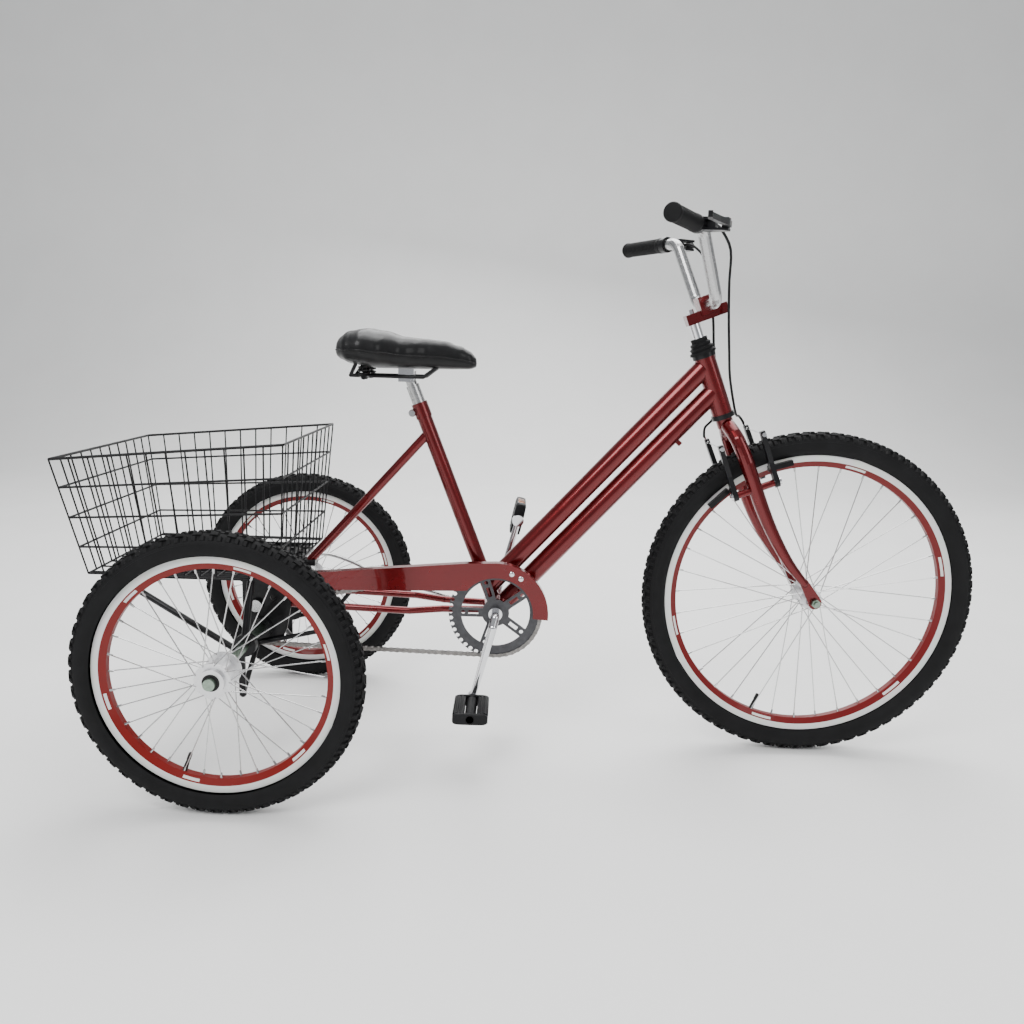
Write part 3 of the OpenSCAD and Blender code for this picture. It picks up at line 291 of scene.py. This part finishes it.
class Soup:
    """Collects vertices and faces for a piece made of many small parts."""

    def __init__(self):
        self.verts = []
        self.faces = []

    def add(self, verts, faces):
        n = len(self.verts)
        self.verts += [Vector(v) for v in verts]
        self.faces += [[i + n for i in f] for f in faces]

    def loft(self, rings, closed_ends=True):
        n = len(rings[0])
        verts = [v for r in rings for v in r]
        faces = [[i * n + k, i * n + (k + 1) % n, (i + 1) * n + (k + 1) % n, (i + 1) * n + k]
                 for i in range(len(rings) - 1) for k in range(n)]
        if closed_ends:
            faces.append(list(range(n))[::-1])
            faces.append([(len(rings) - 1) * n + k for k in range(n)])
        self.add(verts, faces)

    def turned(self, start, direction, profile, sides=20):
        """A turned shape: profile is (distance along, radius) pairs from start."""
        d = Vector(direction).normalized()
        side = d.orthogonal().normalized()
        up = d.cross(side)
        self.loft([circle(Vector(start) + d * a, side, up, r, sides) for a, r in profile])

    def piece(self, name, mat, body, smooth_angle=35):
        return make_piece(name, self.verts, self.faces, mat, body, smooth_angle)


# ---------------------------------------------------------------- tyres, nipples, valves and hub seals
TREAD_DEPTH = 0.0038
SIDEWALL_DEPTH = 0.0016
CASING = 0.003
NIPPLE_OFFSET = 0.0022 * 1.1
VALVE_ANGLE = math.radians(250)
SEAL_RADIUS = 0.0165
# angles round the tyre's section from its crown, and the places along one repeat of the tread
SECTION = [0, 5, 10, 11, 15, 16, 25, 34, 35, 38.5, 39.5, 49, 59, 61, 66, 73, 74, 84, 94, 104, 114]
COLUMNS = [0.04, 0.22, 0.28, 0.46, 0.54, 0.72, 0.78, 0.96]


def tread_depth(deg, column, left):
    """How far the casing lies below the knobs' tops at one point of the tread."""
    first_half = column < 4
    if deg <= 10:
        return 0 if column in (0, 1, 4, 5) else TREAD_DEPTH * 0.7
    if deg <= 15:
        return TREAD_DEPTH
    if deg <= 34:
        return 0 if first_half != left else TREAD_DEPTH
    if deg <= 38.5:
        return TREAD_DEPTH
    if deg <= 59:
        return 0 if column in ((0, 1, 4, 5) if left else (2, 3, 6, 7)) else TREAD_DEPTH
    if deg <= 73:
        return SIDEWALL_DEPTH
    return SIDEWALL_DEPTH * 0.6


def tyre_piece(name, node, body, rim_node, repeats):
    c = middle(node)
    r_out = size(node).x / 2
    half_w = size(node).y / 2
    core = r_out - half_w
    bead = math.degrees(math.acos((size(rim_node).x / 2 - core) / half_w))
    half_section = [a for a in SECTION if a < bead - 2] + [bead]
    section = [-a for a in reversed(half_section[1:])] + half_section
    rows = repeats * len(COLUMNS)
    verts = []

    def place(turn, a, r):
        out = core + r * math.cos(math.radians(a))
        verts.append((c.x + out * math.cos(turn), c.y + r * math.sin(math.radians(a)),
                      c.z + out * math.sin(turn)))

    for i in range(rows):
        column = i % len(COLUMNS)
        turn = TAU * (i // len(COLUMNS) + COLUMNS[column]) / repeats
        for a in section:
            place(turn, a, half_w - tread_depth(abs(a), column, a > 0))
        for a in reversed(section):
            place(turn, a, half_w - TREAD_DEPTH - CASING)
    n = 2 * len(section)
    faces = [[s * n + k, ((s + 1) % rows) * n + k, ((s + 1) % rows) * n + (k + 1) % n, s * n + (k + 1) % n]
             for s in range(rows) for k in range(n)]
    ob = make_piece(name, verts, faces, MATS["rubber"], body, 30)
    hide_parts(node)


def wheel_trim(prefix, body, rim_node):
    c = middle(rim_node)
    rim_in = size(rim_node).x / 2 - RIM_DEPTH
    nipple = [(0, 0.0012), (0.001, 0.0019), (0.008, 0.0021), (0.0095, 0.0026)]
    nipples = Soup()
    for k in range(SPOKES):
        a = TAU * k / SPOKES
        out = ray(a)
        side = NIPPLE_OFFSET if k % 2 == 0 else -NIPPLE_OFFSET
        start = c + out * (rim_in - 0.009) + Vector((0, side, 0))
        nipples.turned(start, out, nipple, 8)
    nipples.piece(prefix + "_nipples", MATS["alloy"], body)
    valve = Soup()
    out = ray(VALVE_ANGLE)
    start = c + out * (rim_in + 0.002)
    valve.turned(start, -out, [(0, 0.0042), (0.012, 0.0038), (0.022, 0.003), (0.024, 0.0036),
                               (0.034, 0.0034), (0.036, 0.0025)], 16)
    valve.piece(prefix + "_valve", MATS["seal"], body)


# wheel, its body, repeats of the tread round it and the colour of the rim's inner band
WHEELS = [("front", "front_wheel", 72, (0.155, 0.0006, 0.0012)),
          # the right wheel's inner band is a lighter, more orange red than the same band on the front and
          # left rims: painted light on the near, lit wheel
          ("right", "rear_axle_set", 54, (0.19, 0.0028, 0.0007)),
          ("left", "left_wheel", 54, (0.155, 0.0006, 0.0012))]
for prefix, body, repeats, band in WHEELS:
    rim = prefix + "_rim"
    tyre_piece(prefix + "_treaded_tyre", prefix + "_tyre", body, rim, repeats)
    wheel_trim(prefix, body, rim)
    finish_node(rim, rim_paint(prefix + "_rim_paint", middle(rim), size(rim).x / 2, band))


def hub_seal(prefix, body, hub, outward):
    c = middle(hub)
    half = size(hub).y / 2
    cap = Soup()
    start = c + Vector((0, outward * (half - 0.002), 0))
    cap.turned(start, (0, outward, 0), [(0, SEAL_RADIUS), (0.0016, SEAL_RADIUS), (0.0022, SEAL_RADIUS * 0.86),
                                        (0.0022, SEAL_RADIUS * 0.6)], 32)
    cap.piece(prefix + "_hub_seal", MATS["seal"], body)


hub_seal("right", "rear_axle_set", "right_hub", -1)
hub_seal("left", "left_wheel", "left_hub", 1)


# ---------------------------------------------------------------- chain
PITCH = 12.7 * MM
RING_TEETH, SPROCKET_TEETH = 44, 20


def chain_path(count):
    """Even (point, on a straight run) pairs round the sprocket and the ring, and the loop's length."""
    big, small = middle("chainring"), middle("sprocket")
    r_big = PITCH / (2 * math.sin(math.pi / RING_TEETH))
    r_small = PITCH / (2 * math.sin(math.pi / SPROCKET_TEETH))
    line = Vector((big.x - small.x, 0, big.z - small.z))
    slope = math.atan2(line.z, line.x)
    wrap = math.asin((r_big - r_small) / line.length)
    run = line.length * math.cos(wrap)
    top = math.pi / 2 + slope + wrap
    low = -math.pi / 2 + slope - wrap
    parts = [run, r_big * (math.pi + 2 * wrap), run, r_small * (math.pi - 2 * wrap)]
    total = sum(parts)
    out = []
    for i in range(count):
        s = total * i / count
        if s < parts[0]:
            direction = ray(slope + wrap)
            start = small + r_small * ray(top)
            out.append((start + direction * s, True))
            continue
        s -= parts[0]
        if s < parts[1]:
            a = top - s / r_big
            out.append((big + r_big * ray(a), False))
            continue
        s -= parts[1]
        if s < parts[2]:
            direction = -ray(slope - wrap)
            start = big + r_big * ray(low)
            out.append((start + direction * s, True))
            continue
        s -= parts[2]
        a = low - s / r_small
        out.append((small + r_small * ray(a), False))
    return out, total


def link_plate(soup, a, b, y, thick):
    """A waisted side plate from pin a to pin b."""
    along = b - a
    length = along.length
    along.normalize()
    across = Vector((-along.z, 0, along.x))
    end_r, waist = 0.0041, 0.0029
    outline = []
    for k in range(9):
        t = math.pi / 2 + math.pi * k / 8
        outline.append(a + along * math.cos(t) * end_r + across * math.sin(t) * end_r)
    outline.append(a + along * length / 2 - across * waist)
    for k in range(9):
        t = -math.pi / 2 + math.pi * k / 8
        outline.append(b + along * math.cos(t) * end_r + across * math.sin(t) * end_r)
    outline.append(a + along * length / 2 + across * waist)
    soup.loft([[Vector((p.x, y + s * thick / 2, p.z)) for p in outline] for s in (-1, 1)])


def make_chain():
    _, total = chain_path(4)
    count = 2 * round(total / PITCH / 2)
    points, _ = chain_path(count)
    mid_y = middle("chain").y
    inner_y, outer_y, plate = 0.00235, 0.0031, 0.0007
    pin = [(0, 0.0018), (0.0013, 0.0018), (0.0015, 0.0014)]
    roller = [(0, 0.0036), (0.0002, 0.0038), (0.0036, 0.0038), (0.0038, 0.0036)]
    links = Soup()
    for i in range(count):
        a, b = points[i][0], points[(i + 1) % count][0]
        off = outer_y if i % 2 == 0 else inner_y
        for s in (-1, 1):
            link_plate(links, a, b, mid_y + s * off, plate)
            links.turned((a.x, mid_y + s * 0.0021, a.z), (0, s, 0), pin, 10)
        # a roller shows only on the straight runs, clear of the teeth
        if all(points[(i + k) % count][1] for k in range(-3, 4)):
            links.turned((a.x, mid_y - 0.0019, a.z), (0, 1, 0), roller, 14)
    ob = links.piece("chain_links", MATS["chain"], "frame", 30)
    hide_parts("chain")


make_chain()


# ---------------------------------------------------------------- saddle
def smoothstep(t):
    t = min(1.0, max(0.0, t))
    return t * t * (3 - 2 * t)


def sample(table, x):
    for (x0, v0), (x1, v1) in zip(table, table[1:]):
        if x <= x1:
            return v0 + (v1 - v0) * smoothstep((x - x0) / (x1 - x0))
    return table[-1][1]


def make_saddle():
    low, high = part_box("saddle")
    length = high.x - low.x
    top_z = high.z
    half_w = size("saddle").y / 2
    seam, grain_height = 0.42, 0.0006
    side_power, top_power, skirt_power = 0.72, 0.8, 0.55
    # fractions of the length: half width, top below the highest point, skirt's lower edge
    width = [(0, 0.42), (0.03, 0.72), (0.1, 0.93), (0.2, 1.0), (0.3, 0.96), (0.48, 0.6), (0.66, 0.36),
             (0.85, 0.28), (0.95, 0.22), (0.985, 0.15), (1, 0.07)]
    crown = [(0, 0.030), (0.03, 0.016), (0.1, 0.005), (0.22, 0.0), (0.34, 0.004), (0.48, 0.014),
             (0.62, 0.017), (0.76, 0.020), (0.88, 0.029), (0.95, 0.038), (1, 0.052)]
    skirt = [(0, 0.052), (0.03, 0.060), (0.12, 0.068), (0.3, 0.0745), (0.55, 0.0745), (0.8, 0.0735),
             (0.95, 0.0725), (1, 0.068)]
    rings = []
    stations, around = 56, 40
    for i in range(stations + 1):
        t = i / stations
        x = low.x + length * t
        w = half_w * sample(width, t)
        z_top = top_z - sample(crown, t)
        z_low = top_z - sample(skirt, t)
        mid_z = z_low + (z_top - z_low) * seam
        ring = []
        for k in range(around):
            a = TAU * k / around
            ca, sa = math.cos(a), math.sin(a)
            y = w * math.copysign(abs(ca) ** side_power, ca)
            if sa >= 0:
                z = mid_z + (z_top - mid_z) * abs(sa) ** top_power
            else:
                z = mid_z - (mid_z - z_low) * abs(sa) ** skirt_power
                y *= 1 - 0.12 * abs(sa)
            # a shallow pebbled grain on the upper part
            wave = math.sin(x * 900 + 4 * math.sin(y * 160)) * math.sin(y * 420 + x * 130)
            if sa > 0.2:
                z += grain_height * wave
            ring.append(Vector((x, y, z)))
        rings.append(ring)
    soup = Soup()
    soup.loft(rings)
    ob = soup.piece("padded_saddle", MATS["vinyl"], "seat", 0)
    ob.data.shade_smooth()
    soften = ob.modifiers.new("round", "SUBSURF")
    soften.levels = soften.render_levels = 1
    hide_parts("saddle")
    # sewn welt round the skirt's upper edge
    welt = Soup()
    sides, welt_radius = 8, 0.0016
    path = []
    for s in (1, -1):
        span = range(1, stations) if s == 1 else range(stations - 1, 0, -1)
        for i in span:
            t = i / stations
            w = half_w * sample(width, t)
            z_top, z_low = top_z - sample(crown, t), top_z - sample(skirt, t)
            path.append(Vector((low.x + length * t, s * w * 0.995, z_low + (z_top - z_low) * seam)))
    rings = []
    n = len(path)
    for i, p in enumerate(path):
        d = (path[(i + 1) % n] - path[i - 1]).normalized()
        out = d.cross(Vector((0, 0, 1))).normalized()
        up = out.cross(d)
        rings.append(circle(p, out, up, welt_radius, sides))
    rings.append(rings[0])
    welt.loft(rings, closed_ends=False)
    welt.piece("saddle_welt", MATS["vinyl"], "seat", 60)


make_saddle()


def make_saddle_springs():
    """Two coil springs with bolts and one cross bolt under the saddle's rear."""
    low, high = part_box("saddle_rails")
    radius, wire, turns, per_turn, sides = 0.0105, 0.0019, 4, 14, 6
    inset, half_gap = 0.030, 0.031
    springs = Soup()
    base = low.z + 0.003
    top = high.z - 0.002
    for side in (-1, 1):
        centre = Vector((low.x + inset, side * half_gap, 0))
        rings = []
        for i in range(turns * per_turn + 1):
            a = TAU * i / per_turn
            z = base + (top - base) * i / (turns * per_turn)
            out = Vector((math.cos(a), math.sin(a), 0))
            p = centre + out * radius + Vector((0, 0, z))
            rings.append(circle(p, out, Vector((0, 0, 1)), wire, sides))
        springs.loft(rings)
        foot = centre + Vector((0, 0, base - 0.006))
        springs.turned(foot, (0, 0, 1), [(0, 0.006), (0.004, 0.0075), (0.006, 0.012), (0.008, 0.012),
                                         (0.009, 0.004), (top - base, 0.004)], 16)
    springs.turned(Vector((low.x + inset, -0.040, base - 0.002)), (0, 1, 0),
                   [(0, 0.005), (0.004, 0.005), (0.004, 0.003), (0.076, 0.003), (0.076, 0.005),
                    (0.080, 0.005)], 12)
    springs.piece("saddle_springs", MATS["black"], "seat", 40)


make_saddle_springs()


# ---------------------------------------------------------------- grips
def make_grips():
    low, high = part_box("grips")
    core, rib, collar = 0.0139, 0.0147, 0.0155
    length, plain, ribs = 0.125, 0.022, 22
    # the bar's end, in from the box's corner by the grip's slope
    inset_x, inset_y = 0.0137, 0.0073
    for s, name in ((-1, "right"), (1, "left")):
        end = Vector((low.x + inset_x, s * (high.y - inset_y), (low.z + high.z) / 2))
        direction = Vector((79, -s * 147, 0)).normalized()
        grip = Soup()
        profile = [(0, 0.006), (0.0006, 0.0142), (0.003, collar), (0.007, collar), (0.008, 0.0146)]
        step = (length - plain) / ribs
        for k in range(ribs):
            a = 0.009 + (length - plain) * k / ribs
            profile += [(a, core), (a + step * 0.25, rib), (a + step * 0.6, rib), (a + step * 0.85, core)]
        profile += [(length - 0.011, 0.0146), (length - 0.009, collar), (length - 0.002, collar),
                    (length, 0.0135), (length, 0.0112)]
        grip.turned(end, direction, profile, 32)
        ob = grip.piece(name + "_ribbed_grip", MATS["grip"], "steering", 30)
        if name == "right":
            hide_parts("grips")


make_grips()


# ---------------------------------------------------------------- pedals
CORNERS = [(-1, -1), (1, -1), (1, 1), (-1, 1)]


def ridged_block(soup, centre, half, frame_of, ridges):
    """A rubber block with a ridged top and bottom; frame_of turns local offsets into the part's frame."""
    hx, hy, hz = half
    n = ridges * 4
    rings = []
    for i in range(n + 1):
        x = -hx + 2 * hx * i / n
        z = hz if (i // 2) % 2 == 0 else hz - 0.0016
        if i in (0, n):
            z = hz - 0.002
        rings.append([frame_of(centre + Vector((x, sy * hy, sz * z))) for sy, sz in CORNERS])
    soup.loft(rings)


def make_pedal(side, body, node, turn):
    s = -1 if side == "right" else 1
    c = middle(node)
    spin = Matrix.Rotation(math.radians(turn), 3, "Y")

    def frame_of(local):
        return c + spin @ local

    wide, length, high, end_cap = 0.092, 0.066, 0.022, 0.007
    block_x, block_half = 0.0225, 0.0105
    lens_x, lens_half_w, lens_half_h = 0.0306, 0.026, 0.0075
    body_soup = Soup()
    for x in (-1, 1):
        half = (block_half, wide / 2 - end_cap, high / 2)
        ridged_block(body_soup, Vector((x * block_x, 0, 0)), half, frame_of, 3)
    for y in (-1, 1):
        outline = []
        for k in range(24):
            a = TAU * k / 24
            ca, sa = math.cos(a), math.sin(a)
            outline.append((length / 2 * math.copysign(abs(ca) ** 0.35, ca),
                            high / 2 * math.copysign(abs(sa) ** 0.5, sa)))
        rings = []
        for t, shrink in ((0, 0.93), (0.0015, 1), (0.0055, 1), (0.007, 0.93)):
            y_at = y * (wide / 2 - end_cap + t)
            rings.append([frame_of(Vector((px * shrink, y_at, pz * shrink))) for px, pz in outline])
        body_soup.loft(rings)
    barrel = [(0, 0.009), (0.002, 0.0105), (wide - 0.016, 0.0105), (wide - 0.014, 0.009)]
    start = frame_of(Vector((0, -wide / 2 + end_cap, 0)))
    body_soup.turned(start, spin @ Vector((0, 1, 0)), barrel, 24)
    ob = body_soup.piece(side + "_block_pedal", MATS["plastic"], body, 30)
    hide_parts(node)
    lens = Soup()
    for x in (-1, 1):
        rings = []
        for t, shrink in ((0, 1), (0.0018, 1), (0.0024, 0.9)):
            x_at = x * (lens_x + t)
            rings.append([frame_of(Vector((x_at, a * lens_half_w * shrink, b * lens_half_h * shrink)))
                          for a, b in CORNERS])
        lens.loft(rings)
    lens.piece(side + "_pedal_reflectors", MATS["amber"], body, 20)
    cap = Soup()
    cap.turned(frame_of(Vector((0, s * (wide / 2 - 0.001), 0))), spin @ Vector((0, s, 0)),
               [(0, 0.0085), (0.0006, 0.0085), (0.001, 0.0075)], 24)
    cap.piece(side + "_pedal_cap", MATS["zinc"], body)


make_pedal("right", "right_pedal", "right_pedal", 0)
make_pedal("left", "left_pedal", "left_pedal", -78)


# ---------------------------------------------------------------- small fittings
def guard_screws():
    face_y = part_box("chain_guard")[0].y
    ring = middle("chainring")
    screws = Soup()
    head = [(0, 0.0052), (0.0008, 0.005), (0.0018, 0.0036), (0.0020, 0.0015)]
    # where the two screws are, from the chainring's middle
    for dx, dz in ((0.030, 0.083), (0.048, 0.074)):
        start = Vector((ring.x + dx, face_y + 0.0003, ring.z + dz))
        screws.turned(start, (0, -1, 0), head, 20)
    screws.piece("guard_screws", MATS["chrome"], "frame")


guard_screws()


# ---------------------------------------------------------------- stage
def make_stage():
    """A pale floor that curves up into a back wall, the world's light and four lamps."""
    mat = surface("pale_floor", (0.93, 0.93, 0.92), 0.6, vary=0.015, grain=3)
    mesh = bpy.data.meshes.new("floor")
    reach, back, rise, radius = 9.0, 5.0, 6.0, 1.8
    rows = [(-reach, 0.0)]
    steps = 12
    for k in range(steps + 1):
        a = math.pi / 2 * k / steps
        rows.append((back - radius + radius * math.sin(a), radius - radius * math.cos(a)))
    rows.append((back, rise))
    verts = [(x, y, z) for y, z in rows for x in (-reach, reach)]
    faces = [[2 * i, 2 * i + 1, 2 * i + 3, 2 * i + 2] for i in range(len(rows) - 1)]
    mesh.from_pydata(verts, [], faces)
    mesh.shade_smooth()
    floor = bpy.data.objects.new("floor", mesh)
    bpy.context.collection.objects.link(floor)
    mesh.materials.append(mat)
    world = bpy.data.worlds.new("studio")
    world.use_nodes = True
    world.node_tree.nodes["Background"].inputs["Color"].default_value = (0.95, 0.97, 1.0, 1)
    world.node_tree.nodes["Background"].inputs["Strength"].default_value = 0.42
    bpy.context.scene.world = world
    lights = [("key", (-1.6, -2.6, 3.2), 2.0, 120), ("fill", (2.6, -2.2, 2.2), 1.8, 30),
              ("top", (0, 0.6, 3.8), 2.6, 90), ("back", (0.5, 2.6, 3.4), 4.0, 190)]
    aim = Vector((0, 0, 0.4))
    for name, place, width, power in lights:
        data = bpy.data.lights.new(name, "AREA")
        data.size = width
        data.energy = power
        lamp = bpy.data.objects.new(name, data)
        bpy.context.collection.objects.link(lamp)
        lamp.location = place
        lamp.rotation_euler = (aim - Vector(place)).to_track_quat("-Z", "Y").to_euler()


make_stage()
make_camera()

bpy.context.view_layer.update()
